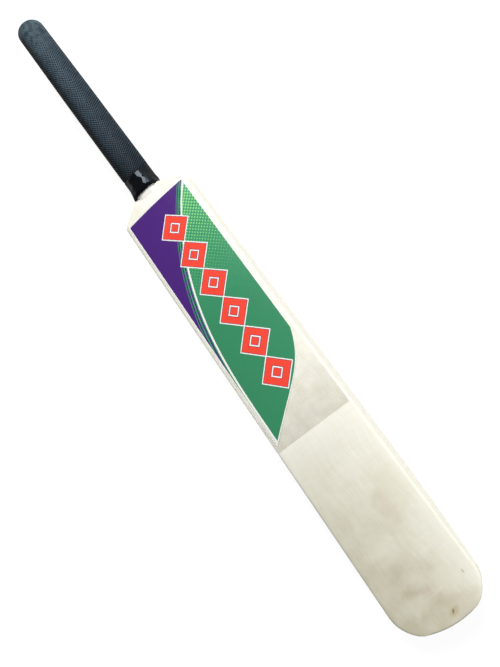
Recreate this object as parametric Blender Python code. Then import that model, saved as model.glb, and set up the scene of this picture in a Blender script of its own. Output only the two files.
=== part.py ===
"""A mini cricket bat, as separate solids.

The bat lies on its back with its face up: X runs across the blade, Y runs along it towards the
handle, and Z is up. The floor is at Z = 0, under the flat strip along the spine, and the origin
is at the middle of the bottom of the whole bat. Lengths are in metres.

"Station" below is the distance from the toe along Y. "Height" on the handle is the distance past
the shoulder seat, where the blade ends and the round handle begins.
"""

import math

import bmesh
import bpy

# Blade, seen from the front
BLADE_LENGTH = 0.342
BLADE_WIDTH = 0.060
TOE_CORNER_RADIUS = 0.018
TOE_ARC_RADIUS = 0.100
TOE_ARC_REACH = 0.040
SHOULDER_DROP = 0.0105
SHOULDER_REACH = 0.026
SHOULDER_CORNER_RADIUS = 0.0025

# Blade, seen from the side: depths are below the plane of the face's two long arrises
FACE_CROWN = 0.0015
EDGE_DEPTH_TOE = 0.006
EDGE_DEPTH = 0.022
EDGE_DEPTH_SHOULDER = 0.0186
EDGE_TOE_RUN = 0.095
EDGE_SHOULDER_RUN = 0.150
SPINE_DEPTH_TOE = 0.010
SPINE_DEPTH = 0.026
SPINE_DEPTH_SHOULDER = 0.0205
SPINE_TOE_RUN = 0.090
SPINE_SHOULDER_RUN = 0.059
SPINE_STRIP_WIDTH = 0.010

# Roundings of the blade's arrises
FRONT_ARRIS_RADIUS = 0.0015
BACK_ARRIS_RADIUS = 0.003
TOE_FRONT_RADIUS = 0.002
TOE_BACK_RADIUS = 0.004
SHOULDER_ARRIS_RADIUS = 0.0006

# Splice: the V that joins the handle to the blade
SPLICE_LENGTH = 0.078
SPLICE_TOP_WIDTH = 0.020
SPLICE_TIP_WIDTH = 0.003

# Handle
HANDLE_LENGTH = 0.182
HANDLE_LEAN = math.radians(4.0)
HANDLE_AXIS_DEPTH = 0.0065
HANDLE_RADIUS = 0.0093
HANDLE_TOP_RADIUS = 0.0090
HANDLE_TOP_TAPER = 0.080
HANDLE_END_RADIUS = 0.0024
ROOT_HALF_WIDTH = 0.01045
ROOT_HALF_DEPTH = 0.0096
ROOT_SQUARENESS = 3.4
ROOT_FLARE = 0.012
RAMP_LENGTH = 0.009
RAMP_LOW_WIDTH = 0.0085
RAMP_LOW_DEPTH = 0.0075
RAMP_TOP_WIDTH = 0.0098
RAMP_TOP_DEPTH = 0.0094
SLIP_MIDDLE_WIDTH = 0.0056
SPRING_THICKNESS = 0.0008
SPRING_START = 0.001

# Coverings of the handle
TWINE_THICKNESS = 0.0005
TWINE_START = 0.0012
TWINE_STOP_SHORT = 0.010
GRIP_START = 0.009
GRIP_THICKNESS = 0.0012
GRIP_TAPED_THICKNESS = 0.00035
GRIP_SWELL_RUN = 0.003
GRIP_END_THICKNESS = 0.0013
GRIP_END_RADIUS = 0.0029
GRIP_MOUTH_RADIUS = 0.0060
TAPE_START = 0.0006
TAPE_WIDTH = 0.019
TAPE_THICKNESS = 0.0003

# Printed sheet on the face
FILM_START = 0.134
FILM_END = 0.3308
FILM_WIDTH = 0.057
FILM_THICKNESS = 0.0003

# Gap left between pieces that touch, and the reach of a cutter past what it cuts
GAP = 0.0003
PAST = 0.010

RING_POINTS = 40
ARC_STEPS = 6

HALF_WIDTH = BLADE_WIDTH / 2
TOTAL_LENGTH = BLADE_LENGTH + HANDLE_LENGTH
FACE_Z = SPINE_DEPTH
AXIS_Z = FACE_Z - HANDLE_AXIS_DEPTH
CORE_LENGTH = HANDLE_LENGTH - GRIP_END_THICKNESS - GAP
GRIP_BORE = TWINE_THICKNESS + 2 * GAP
NECK_HALF_WIDTH = ROOT_HALF_WIDTH + GRIP_BORE + TAPE_THICKNESS

WILLOW = ((0.80, 0.76, 0.62), 0.55)
CANE = ((0.72, 0.62, 0.42), 0.55)
SPRING_RUBBER = ((0.05, 0.05, 0.05), 0.80)
TWINE = ((0.62, 0.55, 0.42), 0.90)
GRIP_RUBBER = ((0.03, 0.04, 0.05), 0.65)
TAPE_PVC = ((0.01, 0.01, 0.012), 0.15)
FILM_PRINT = ((0.06, 0.30, 0.15), 0.12)


def eased(t):
    """Smooth 0 to 1, level at both ends."""
    t = min(1.0, max(0.0, t))
    return t * t * (3 - 2 * t)


def rising(t):
    """Smooth 0 to 1, steep at first and level at the end."""
    return math.sin(math.pi / 2 * min(1.0, max(0.0, t)))


def rounding(distance, radius):
    """How far a rounded arris has dropped at this distance from the edge."""
    if radius <= 0 or distance >= radius:
        return 0.0
    return radius - math.sqrt(radius**2 - (radius - distance) ** 2)


def world_y(station):
    return station - TOTAL_LENGTH / 2


# The blade's surfaces

def edge_depth(station):
    toe = EDGE_DEPTH_TOE + (EDGE_DEPTH - EDGE_DEPTH_TOE) * rising(station / EDGE_TOE_RUN)
    run = (station - BLADE_LENGTH + EDGE_SHOULDER_RUN) / EDGE_SHOULDER_RUN
    return toe + (EDGE_DEPTH_SHOULDER - EDGE_DEPTH) * eased(run)


def spine_depth(station):
    toe = SPINE_DEPTH_TOE + (SPINE_DEPTH - SPINE_DEPTH_TOE) * rising(station / SPINE_TOE_RUN)
    run = (station - BLADE_LENGTH + SPINE_SHOULDER_RUN) / SPINE_SHOULDER_RUN
    return toe + (SPINE_DEPTH_SHOULDER - SPINE_DEPTH) * eased(run)


def crown(x):
    """Height of the crowned face over the plane of its arrises."""
    return FACE_CROWN * (1 - (x / HALF_WIDTH) ** 2)


def half_width(station):
    """Half the width of the blade, with its rounded toe and shoulder corners."""
    toe = rounding(station, TOE_CORNER_RADIUS)
    shoulder = rounding(BLADE_LENGTH - station, SHOULDER_CORNER_RADIUS)
    return HALF_WIDTH - toe - shoulder


def front_z(x, station, from_side):
    drop = rounding(from_side, FRONT_ARRIS_RADIUS)
    drop += rounding(station, TOE_FRONT_RADIUS)
    drop += rounding(BLADE_LENGTH - station, SHOULDER_ARRIS_RADIUS)
    return FACE_Z + crown(x) - drop


def back_z(x, station, from_side):
    """The back slopes from the edge to a flat strip along the spine."""
    outer = half_width(station)
    inner = min(SPINE_STRIP_WIDTH / 2, outer / 2)
    t = min(1.0, max(0.0, (abs(x) - inner) / (outer - inner)))
    depth = spine_depth(station) * (1 - t) + edge_depth(station) * t
    depth -= rounding(from_side, BACK_ARRIS_RADIUS)
    depth -= rounding(station, TOE_BACK_RADIUS)
    depth -= rounding(BLADE_LENGTH - station, SHOULDER_ARRIS_RADIUS)
    return FACE_Z - depth


def blade_y(x, station):
    """A section's points move along the blade, for the toe's arc and the shoulders' slope."""
    toe = x * x / (2 * TOE_ARC_RADIUS) * max(0.0, 1 - station / TOE_ARC_REACH)
    beyond = max(0.0, abs(x) - NECK_HALF_WIDTH) / (HALF_WIDTH - NECK_HALF_WIDTH)
    fade = max(0.0, 1 - (BLADE_LENGTH - station) / SHOULDER_REACH)
    return world_y(station + toe - SHOULDER_DROP * beyond * fade)


def blade_stations():
    """Where the blade's sections stand: close together at the toe, the shoulder and the runs' ends."""
    steps = [TOE_CORNER_RADIUS * (1 - math.cos(math.pi / 2 * i / 9)) for i in range(10)]
    steps += [TOE_FRONT_RADIUS * f for f in (0.08, 0.5)]
    steps += [TOE_CORNER_RADIUS + (SPINE_TOE_RUN - TOE_CORNER_RADIUS) * i / 6 for i in range(1, 7)]
    run_out = BLADE_LENGTH - SPINE_SHOULDER_RUN
    steps += [SPINE_TOE_RUN + (run_out - SPINE_TOE_RUN) * i / 8 for i in range(1, 9)]
    fade = BLADE_LENGTH - SHOULDER_REACH
    steps += [run_out + (fade - run_out) * i / 4 for i in range(1, 5)]
    corner = BLADE_LENGTH - SHOULDER_CORNER_RADIUS
    steps += [fade + (corner - fade) * i / 3 for i in range(1, 4)]
    steps += [BLADE_LENGTH - SHOULDER_CORNER_RADIUS * f for f in (0.6, 0.3, 0.12, 0.03, 0)]
    return sorted(steps)


def blade_columns(station):
    """(x, distance from the side) across one section, from left to right."""
    outer = half_width(station)
    inner = HALF_WIDTH - BACK_ARRIS_RADIUS
    scale = (outer - BACK_ARRIS_RADIUS) / inner
    slope = inner - NECK_HALF_WIDTH
    between = [(NECK_HALF_WIDTH + slope * f) * scale for f in (0.7, 0.35, 0)]
    right = [(outer - BACK_ARRIS_RADIUS * f, BACK_ARRIS_RADIUS * f) for f in (0, 0.05, 0.2, 0.5, 1)]
    right += [(x, HALF_WIDTH) for x in between + [SPINE_STRIP_WIDTH / 2 * scale]]
    left = [(-x, side) for x, side in right]
    return left + [(0.0, HALF_WIDTH)] + right[::-1]


def slab(name, rows):
    """A closed solid between a top and a bottom sheet, given as rows of (top point, bottom point)."""
    mesh_maker = bmesh.new()
    tops = [[mesh_maker.verts.new(top) for top, bottom in row] for row in rows]
    bottoms = [[mesh_maker.verts.new(bottom) for top, bottom in row] for row in rows]
    last_row = len(rows) - 1
    last = len(rows[0]) - 1
    for r in range(last_row):
        for c in range(last):
            quad = ((r, c), (r, c + 1), (r + 1, c + 1), (r + 1, c))
            mesh_maker.faces.new([tops[i][j] for i, j in quad])
            mesh_maker.faces.new([bottoms[i][j] for i, j in reversed(quad)])
    for c in range(last):
        mesh_maker.faces.new((tops[0][c + 1], tops[0][c], bottoms[0][c], bottoms[0][c + 1]))
        end, under = tops[last_row], bottoms[last_row]
        mesh_maker.faces.new((end[c], end[c + 1], under[c + 1], under[c]))
    for r in range(last_row):
        mesh_maker.faces.new((tops[r][0], tops[r + 1][0], bottoms[r + 1][0], bottoms[r][0]))
        mesh_maker.faces.new((tops[r + 1][last], tops[r][last], bottoms[r][last], bottoms[r + 1][last]))
    return mesh_object(name, mesh_maker)


def blade_form(name):
    """The whole blade before the V is sawn out of it."""
    rows = []
    for station in blade_stations():
        row = []
        for x, side in blade_columns(station):
            y = blade_y(x, station)
            row.append(((x, y, front_z(x, station, side)), (x, y, back_z(x, station, side))))
        rows.append(row)
    return slab(name, rows)


# The handle's sections

def handle_half_sizes(height):
    """Half width, half depth and squareness of the handle, which flares to a squarer root."""
    t = eased(height / ROOT_FLARE)
    taper = eased((height - HANDLE_LENGTH + HANDLE_TOP_TAPER) / HANDLE_TOP_TAPER)
    radius = HANDLE_RADIUS + (HANDLE_TOP_RADIUS - HANDLE_RADIUS) * taper
    wide = ROOT_HALF_WIDTH + (radius - ROOT_HALF_WIDTH) * t
    deep = ROOT_HALF_DEPTH + (radius - ROOT_HALF_DEPTH) * t
    return wide, deep, ROOT_SQUARENESS + (2 - ROOT_SQUARENESS) * t


def oval(height, wide, deep, power):
    """A ring of points round the handle's axis, which leans forward of the face."""
    y = world_y(BLADE_LENGTH + height)
    z = AXIS_Z + height * math.tan(HANDLE_LEAN)
    ring = []
    for i in range(RING_POINTS):
        angle = 2 * math.pi * i / RING_POINTS
        c, s = math.cos(angle), math.sin(angle)
        x = wide * math.copysign(abs(c) ** (2 / power), c)
        ring.append((x, y, z + deep * math.copysign(abs(s) ** (2 / power), s)))
    return ring


def handle_ring(height, offset):
    """The handle's section at this height, grown by offset."""
    wide, deep, power = handle_half_sizes(height)
    return oval(height, wide + offset, deep + offset, power)


def mesh_object(name, mesh_maker):
    bmesh.ops.recalc_face_normals(mesh_maker, faces=mesh_maker.faces)
    mesh = bpy.data.meshes.new(name)
    mesh_maker.to_mesh(mesh)
    mesh_maker.free()
    piece = bpy.data.objects.new(name, mesh)
    bpy.context.scene.collection.objects.link(piece)
    return piece


def loft(name, rings, closed=False):
    """Skins the rings in turn; the ends are capped, or joined to each other for a sleeve."""
    mesh_maker = bmesh.new()
    loops = [[mesh_maker.verts.new(point) for point in ring] for ring in rings]
    pairs = list(zip(loops, loops[1:]))
    if closed:
        pairs.append((loops[-1], loops[0]))
    for near, far in pairs:
        for i in range(RING_POINTS):
            j = (i + 1) % RING_POINTS
            mesh_maker.faces.new((near[i], near[j], far[j], far[i]))
    if not closed:
        mesh_maker.faces.new(loops[0])
        mesh_maker.faces.new(loops[-1])
    return mesh_object(name, mesh_maker)


def root_heights():
    """Stations through the flare at the handle's root."""
    return [ROOT_FLARE * i / 6 for i in range(1, 7)]


def long_heights(start, end):
    """Stations along the plain part of the handle, close enough for its taper."""
    taper = HANDLE_LENGTH - HANDLE_TOP_TAPER
    middle = [h for h in [taper + HANDLE_TOP_TAPER * i / 4 for i in range(5)] if start < h < end]
    return [h for h in root_heights() if start < h < end] + middle


def core_form(name):
    """The round handle as one solid, on a ramp that rises out of the wedge to meet it."""
    rings = []
    for i in range(ARC_STEPS + 1):
        t = i / ARC_STEPS
        wide = RAMP_LOW_WIDTH + (RAMP_TOP_WIDTH - RAMP_LOW_WIDTH) * t
        deep = RAMP_LOW_DEPTH + (RAMP_TOP_DEPTH - RAMP_LOW_DEPTH) * eased(t)
        rings.append(oval(GAP - RAMP_LENGTH * (1 - t), wide, deep, ROOT_SQUARENESS))
    rings.append(handle_ring(GAP, 0))
    shoulder = CORE_LENGTH - HANDLE_END_RADIUS
    rings += [handle_ring(h, 0) for h in long_heights(GAP, shoulder)]
    for i in range(ARC_STEPS + 1):
        turn = math.pi / 2 * i / ARC_STEPS
        height = shoulder + HANDLE_END_RADIUS * math.sin(turn)
        rings.append(handle_ring(height, -HANDLE_END_RADIUS * (1 - math.cos(turn))))
    return loft(name, rings)


def splice_prism(name, clearance, past):
    """The V of the splice, right through the blade from face to back."""
    tip_station = BLADE_LENGTH - SPLICE_LENGTH - clearance
    top_station = BLADE_LENGTH + past
    tip = SPLICE_TIP_WIDTH / 2
    slope = (SPLICE_TOP_WIDTH / 2 - tip) / SPLICE_LENGTH
    grow = clearance * math.sqrt(1 + slope**2)
    rows = []
    for station in (tip_station, top_station):
        half = tip + slope * (station - BLADE_LENGTH + SPLICE_LENGTH) + grow
        y = world_y(station)
        rows.append([((x, y, FACE_Z + PAST), (x, y, -PAST)) for x in (-half, half)])
    return slab(name, rows)


def box(name, low, high):
    rows = []
    for y in (low[1], high[1]):
        rows.append([((x, y, high[2]), (x, y, low[2])) for x in (low[0], high[0])])
    return slab(name, rows)


def tool(piece):
    """Marks a shape that only cuts or guides others."""
    piece.hide_render = True
    piece.display_type = "WIRE"
    return piece


def boolean(piece, operation, other):
    modifier = piece.modifiers.new(operation.lower(), "BOOLEAN")
    modifier.operation = operation
    modifier.solver = "EXACT"
    modifier.object = other


def finish(piece, look, sharp=35):
    """Gives a piece its own material and smooth shading with sharp arrises."""
    colour, roughness = look
    material = bpy.data.materials.new(piece.name)
    material.use_nodes = True
    shader = material.node_tree.nodes["Principled BSDF"]
    shader.inputs["Base Color"].default_value = (*colour, 1)
    shader.inputs["Roughness"].default_value = roughness
    shader.inputs["Metallic"].default_value = 0
    piece.data.materials.append(material)
    piece.data.shade_smooth()
    piece.data.set_sharp_from_angle(angle=math.radians(sharp))


def make_blade():
    piece = blade_form("blade")
    boolean(piece, "DIFFERENCE", tool(splice_prism("splice_cutter", GAP, PAST)))
    finish(piece, WILLOW)


def make_wedge_tool():
    """The handle's wedge: the V where it lies inside the blade, flush with face and back."""
    wedge = splice_prism("wedge_tool", 0, PAST)
    boolean(wedge, "INTERSECT", tool(blade_form("blade_tool")))
    return tool(wedge)


def make_slips(wedge):
    """Three cane slips side by side, with a slot above the shoulder for each spring."""
    joint = SLIP_MIDDLE_WIDTH / 2
    slot = joint + 2 * GAP + SPRING_THICKNESS
    low_y = world_y(0)
    high_y = world_y(TOTAL_LENGTH) + PAST
    low_z, high_z = -PAST, FACE_Z + HANDLE_LENGTH
    slot_y = world_y(BLADE_LENGTH + SPRING_START - GAP)
    parts = {
        "cane_slip_left": ((-HALF_WIDTH, -joint - GAP), (-slot, 0)),
        "cane_slip_middle": ((-joint, joint), None),
        "cane_slip_right": ((joint + GAP, HALF_WIDTH), (0, slot)),
    }
    for name, ((x0, x1), slot_x) in parts.items():
        piece = core_form(name)
        boolean(piece, "UNION", wedge)
        keep = box(name + "_keep", (x0, low_y, low_z), (x1, high_y, high_z))
        boolean(piece, "INTERSECT", tool(keep))
        if slot_x:
            cutter = box(name + "_slot", (slot_x[0], slot_y, low_z), (slot_x[1], high_y, high_z))
            boolean(piece, "DIFFERENCE", tool(cutter))
        finish(piece, CANE)


def make_springs():
    """A rubber strip in the slot on each side of the middle slip."""
    inside = SLIP_MIDDLE_WIDTH / 2 + GAP
    outside = inside + SPRING_THICKNESS
    low_y = world_y(BLADE_LENGTH + SPRING_START)
    high_y = world_y(TOTAL_LENGTH) + PAST
    for name, side in (("rubber_spring_left", -1), ("rubber_spring_right", 1)):
        piece = core_form(name)
        x0, x1 = sorted((side * inside, side * outside))
        keep = box(name + "_keep", (x0, low_y, -PAST), (x1, high_y, FACE_Z + HANDLE_LENGTH))
        boolean(piece, "INTERSECT", tool(keep))
        finish(piece, SPRING_RUBBER)


def make_twine():
    """Thread wound from the root nearly to the end, as one sleeve."""
    end = CORE_LENGTH - TWINE_STOP_SHORT
    heights = [TWINE_START] + long_heights(TWINE_START, end) + [end]
    outer = [handle_ring(h, GAP + TWINE_THICKNESS) for h in heights]
    inner = [handle_ring(h, GAP) for h in reversed(heights)]
    finish(loft("twine_whipping", outer + inner, closed=True), TWINE)


def grip_thickness(height):
    """Thin where the tape squeezes it, full just above the tape."""
    above = (height - TAPE_START - TAPE_WIDTH) / GRIP_SWELL_RUN
    return GRIP_TAPED_THICKNESS + (GRIP_THICKNESS - GRIP_TAPED_THICKNESS) * eased(above)


def grip_heights(end):
    tape_top = TAPE_START + TAPE_WIDTH
    swell = [tape_top + GRIP_SWELL_RUN * i / 4 for i in range(5)]
    plain = [h for h in long_heights(GRIP_START, end) if h < tape_top or h > swell[-1]]
    return sorted([GRIP_START] + swell + plain)


def make_grip():
    """A rubber sleeve that turns in over the handle's end and leaves a round mouth there."""
    bend = HANDLE_LENGTH - GRIP_END_RADIUS
    rings = [handle_ring(h, GRIP_BORE + grip_thickness(h)) for h in grip_heights(bend)]
    outer = GRIP_BORE + GRIP_THICKNESS
    for i in range(ARC_STEPS + 1):
        turn = math.pi / 2 * i / ARC_STEPS
        inward = GRIP_END_RADIUS * (1 - math.cos(turn))
        rings.append(handle_ring(bend + GRIP_END_RADIUS * math.sin(turn), outer - inward))
    rings.append(oval(HANDLE_LENGTH, GRIP_MOUTH_RADIUS, GRIP_MOUTH_RADIUS, 2))
    under = HANDLE_LENGTH - GRIP_END_THICKNESS
    rings.append(oval(under, GRIP_MOUTH_RADIUS, GRIP_MOUTH_RADIUS, 2))
    inner_bend = under - HANDLE_END_RADIUS
    for i in range(ARC_STEPS, -1, -1):
        turn = math.pi / 2 * i / ARC_STEPS
        inward = HANDLE_END_RADIUS * (1 - math.cos(turn))
        rings.append(handle_ring(inner_bend + HANDLE_END_RADIUS * math.sin(turn), GRIP_BORE - inward))
    rings += [handle_ring(h, GRIP_BORE) for h in reversed(grip_heights(inner_bend))]
    finish(loft("rubber_grip", rings, closed=True), GRIP_RUBBER)


def make_tape():
    """Tape wound over the neck and the grip's thin lower end."""
    low = GRIP_START - GAP
    high = TAPE_START + TAPE_WIDTH
    bare = GRIP_BORE
    over_grip = bare + GRIP_TAPED_THICKNESS + GAP
    ramp = 0.4 * GRIP_START
    flare = [h for h in root_heights() if TAPE_START < h < high]
    heights = sorted([TAPE_START, low - ramp, low, high] + flare)

    def bore(height):
        return bare + (over_grip - bare) * eased((height - low + ramp) / ramp)

    outer = [handle_ring(h, bore(h) + TAPE_THICKNESS) for h in heights]
    inner = [handle_ring(h, bore(h)) for h in reversed(heights)]
    finish(loft("neck_tape", outer + inner, closed=True), TAPE_PVC)


def make_film():
    """The printed sheet, which follows the crown of the face."""
    columns = [FILM_WIDTH * (i / 12 - 0.5) for i in range(13)]
    rows = []
    for station in (FILM_START, FILM_END):
        y = world_y(station)
        row = []
        for x in columns:
            z = FACE_Z + crown(x) + GAP
            row.append(((x, y, z + FILM_THICKNESS), (x, y, z)))
        rows.append(row)
    finish(slab("face_film", rows), FILM_PRINT)


for old in list(bpy.data.objects):
    bpy.data.objects.remove(old)

make_blade()
make_slips(make_wedge_tool())
make_springs()
make_twine()
make_grip()
make_tape()
make_film()
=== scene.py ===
import math

import bmesh
import bpy
from mathutils import Euler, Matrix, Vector, noise
from mathutils.bvhtree import BVHTree


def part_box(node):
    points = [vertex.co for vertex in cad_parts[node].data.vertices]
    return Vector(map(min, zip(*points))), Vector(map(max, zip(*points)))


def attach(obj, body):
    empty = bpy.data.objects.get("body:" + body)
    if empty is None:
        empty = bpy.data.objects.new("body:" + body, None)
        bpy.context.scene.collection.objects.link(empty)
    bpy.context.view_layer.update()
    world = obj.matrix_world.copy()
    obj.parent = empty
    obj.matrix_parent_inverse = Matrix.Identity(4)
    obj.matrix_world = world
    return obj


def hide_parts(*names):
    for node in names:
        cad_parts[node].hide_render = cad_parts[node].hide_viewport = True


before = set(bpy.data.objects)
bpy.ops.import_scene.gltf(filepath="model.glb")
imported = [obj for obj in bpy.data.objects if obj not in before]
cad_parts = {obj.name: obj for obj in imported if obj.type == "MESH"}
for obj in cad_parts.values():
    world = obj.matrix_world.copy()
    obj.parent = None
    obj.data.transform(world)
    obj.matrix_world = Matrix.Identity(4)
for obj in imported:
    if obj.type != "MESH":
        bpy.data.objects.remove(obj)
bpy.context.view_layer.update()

# The mini cricket bat lies on its back on a white table, face up, with its toe towards the camera.
# X runs across the bat, Y along it towards the handle, and Z is up. Sizes are real ones in metres.

# Camera
# A phone held about 37 cm above the table and nearer the toe, so the handle falls away from it.
# Its place, turn and lens were solved from the bat's long straight edges in the 500 x 667 frame.

MM = 0.001
PHONE_PLACE = (93.6 * MM, -158.7 * MM, 370.4 * MM)
PHONE_TURN = (4.494, 21.611, -36.713)
FILM_GATE = 36.0
PIXELS_PER_FOCAL_LENGTH = 558.8
FRAME_HEIGHT = 667

phone = bpy.data.cameras.new("phone")
phone.sensor_fit = "VERTICAL"
phone.sensor_height = FILM_GATE
phone.lens = PIXELS_PER_FOCAL_LENGTH * FILM_GATE / FRAME_HEIGHT
phone.clip_start = 0.01
camera = bpy.data.objects.new("phone", phone)
camera.location = PHONE_PLACE
camera.rotation_euler = Euler([math.radians(turn) for turn in PHONE_TURN])
bpy.context.scene.collection.objects.link(camera)
bpy.context.scene.camera = camera


# Table and light
# A white matt table top. The camera sees it as plain white with a faint trace of the bat's shadow.
# A window stands beyond the handle, and a white wall on the toe's side gives a little light back.

TABLE_SIZE = 12.0
TABLE_DROP = 0.2 * MM
TABLE_WHITE = "BEBEBC"
SHADOW_SHARE = 0.15
PLAIN_WHITE = 0.92


def linear(hex_colour):
    """An sRGB colour, such as "E9E5D4", as the linear RGBA that a socket takes."""
    channels = [int(hex_colour[i:i + 2], 16) / 255 for i in (0, 2, 4)]
    return *[c / 12.92 if c <= 0.04045 else ((c + 0.055) / 1.055) ** 2.4 for c in channels], 1.0


def node(tree, kind, inputs=(), **settings):
    """Adds a shader node with its settings.

    An input is named or counted, and takes a plain value, a socket, or a node's first output.
    """
    made = tree.nodes.new("ShaderNode" + kind)
    for name, value in settings.items():
        setattr(made, name, value)
    for name, value in dict(inputs).items():
        found = [s for i, s in enumerate(made.inputs) if s.enabled and name in (i, s.name)]
        if isinstance(value, bpy.types.Node):
            value = next(s for s in value.outputs if s.enabled)
        if isinstance(value, bpy.types.NodeSocket):
            tree.links.new(value, found[0])
        else:
            found[0].default_value = value
    return made


def new_material(name):
    """An empty node material and its output node."""
    material = bpy.data.materials.new(name)
    material.use_nodes = True
    material.node_tree.nodes.clear()
    return material, node(material.node_tree, "OutputMaterial")


def seen_directly(tree):
    """1 for rays from the camera, from a mirror or through glass, and 0 for rays that carry light."""
    ray = node(tree, "LightPath")
    mirror = node(tree, "Math", {0: ray.outputs["Is Glossy Ray"], 1: ray.outputs["Is Transmission Ray"]},
                  operation="MAXIMUM")
    return node(tree, "Math", {0: ray.outputs["Is Camera Ray"], 1: mirror}, operation="MAXIMUM")


def link_piece(name, mesh, material, smooth=True):
    """A finished bmesh as an object at the origin."""
    data = bpy.data.meshes.new(name)
    mesh.to_mesh(data)
    mesh.free()
    if smooth:
        data.shade_smooth()
    data.materials.append(material)
    piece = bpy.data.objects.new(name, data)
    bpy.context.scene.collection.objects.link(piece)
    return piece


white_laminate, table_output = new_material("matt_white_laminate")
tree = white_laminate.node_tree
plain_top = node(tree, "BsdfDiffuse", {"Color": linear(TABLE_WHITE)})
shadow_catcher = node(tree, "BsdfDiffuse", {"Color": (SHADOW_SHARE, SHADOW_SHARE, SHADOW_SHARE, 1)})
glow = node(tree, "Emission", {"Strength": PLAIN_WHITE})
shown_top = node(tree, "AddShader", {0: shadow_catcher, 1: glow})
table_look = node(tree, "MixShader", {0: seen_directly(tree), 1: plain_top, 2: shown_top})
tree.links.new(table_look.outputs[0], table_output.inputs["Surface"])

table_mesh = bmesh.new()
bmesh.ops.create_grid(table_mesh, x_segments=1, y_segments=1, size=TABLE_SIZE / 2)
bmesh.ops.translate(table_mesh, verts=table_mesh.verts, vec=(0, 0, -TABLE_DROP))
table = link_piece("table_top", table_mesh, white_laminate, smooth=False)

# The room is white at eye level and dimmer overhead, so glossy black shows dark and white side by side.
# Apart from that it only fills the shadows: the window does most of the work.
ROOM_WHITE, CEILING = 1.0, 0.20
EYE_LEVEL_TOP, CEILING_START = 0.08, 0.45
FILL = 0.20

room = bpy.data.worlds.new("white_room")
room.use_nodes = True
room.node_tree.nodes.clear()
tree = room.node_tree
direction = node(tree, "SeparateXYZ", {0: node(tree, "TexCoord").outputs["Generated"]})
brightness = node(tree, "MapRange", {
    "Value": direction.outputs["Z"], "From Min": EYE_LEVEL_TOP, "From Max": CEILING_START,
    "To Min": ROOM_WHITE, "To Max": CEILING}, interpolation_type="SMOOTHSTEP")
room_strength = node(tree, "MapRange", {
    "Value": seen_directly(tree), "To Min": FILL, "To Max": brightness})
background = node(tree, "Background", {"Color": linear("FFFFFF"), "Strength": room_strength})
node(tree, "OutputWorld", {"Surface": background})
bpy.context.scene.world = room


def soft_lamp(name, place, aim, width, height, power):
    """A white rectangular lamp that shines from its place towards aim."""
    lamp = bpy.data.lights.new(name, "AREA")
    lamp.shape = "RECTANGLE"
    lamp.size, lamp.size_y = width, height
    lamp.energy = power
    holder = bpy.data.objects.new(name, lamp)
    holder.location = place
    holder.rotation_euler = (Vector(aim) - Vector(place)).to_track_quat("-Z", "Y").to_euler()
    bpy.context.scene.collection.objects.link(holder)


soft_lamp("window", place=(0.61, 0.90, 1.22), aim=(0.0, 0.05, 0.02), width=0.55, height=0.87, power=28.4)
soft_lamp("white_wall", place=(0.72, -0.75, 0.36), aim=(0.0, -0.12, 0.01), width=0.80, height=0.50,
          power=3.7)

bpy.context.scene.view_settings.view_transform = "Standard"


# Blade
# One piece of pale willow, sawn along the grain, sanded and left bare: a crowned face, flat thick
# edges, a ridged back, and a toe that handling has greyed. A V is sawn out of it for the handle.

JOIN_WITHIN = 0.002 * MM
ARRIS_TURN, BLADE_ARRIS_TURN = 32, 44


def joined_copy(name, cad_node, material, sharp=ARRIS_TURN):
    """A copy of a CAD solid with its triangles joined, smooth over curves and crisp at the arrises."""
    mesh = bmesh.new()
    mesh.from_mesh(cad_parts[cad_node].data)
    bmesh.ops.remove_doubles(mesh, verts=mesh.verts, dist=JOIN_WITHIN)
    piece = link_piece(name, mesh, material)
    stored_normals = piece.data.attributes.get("custom_normal")
    if stored_normals:
        piece.data.attributes.remove(stored_normals)
    piece.data.set_sharp_from_angle(angle=math.radians(sharp))
    weighted = piece.modifiers.new("even_shading", "WEIGHTED_NORMAL")
    weighted.keep_sharp = True
    return piece


TOE_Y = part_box("blade")[0].y
BLADE_HALF, FACE_Z, FACE_CROWN = 30 * MM, 26 * MM, 1.5 * MM

# The toe's end: sanding has left a rounder curve than the sawn outline, and taken off 0.2 mm.
SAWN_ARC, SAWN_CORNER = 100 * MM, 18 * MM
SANDED_ARC, SANDED_CORNER = 62 * MM, 13.5 * MM
ARC_REACH, SANDED_OFF, SANDED_REACH = 40 * MM, 0.2 * MM, 30 * MM


def toe_line(x, arc, corner):
    """How far the toe's outline stands back at x, for a shallow arc between two round corners."""
    beyond = min(1.0, max(0.0, (abs(x) - BLADE_HALF + corner) / corner))
    bend = corner * (1 - math.sqrt(1 - beyond ** 2))
    return bend + x ** 2 / (2 * arc) * (1 - bend / ARC_REACH)


# Willow is cream with straight fine fibres that waver a little, and with a faint curl across them.
# Sanded, it stays dull, about 0.6 rough. The fibres are drawn coarser than real ones, so that they show.
WILLOW_PALE, WILLOW_DEEP, WILLOW_EDGE = "FDFCF3", "F1EDDA", "FCFAEC"
FIBRE_WIDTH, FIBRE_LENGTH, FIBRE_SHARE = 0.7 * MM, 18 * MM, 0.85
STREAK_WIDTH, STREAK_LENGTH, STREAK_SHARE = 2.6 * MM, 70 * MM, 0.50
CURL_WIDTH, CURL_LENGTH, CURL_SHARE, CURL_TURN = 11 * MM, 2.4 * MM, 0.45, 14
GRAIN_OFFSET, GRAIN_PALE, GRAIN_DEEP = -0.44, 0.18, 0.82
WAVER, WAVER_LENGTH = 5.0 * MM, 32 * MM
BLOTCH, CLOUD = 30 * MM, 9 * MM
SMOOTHEST, ROUGHEST = 0.52, 0.66

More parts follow.
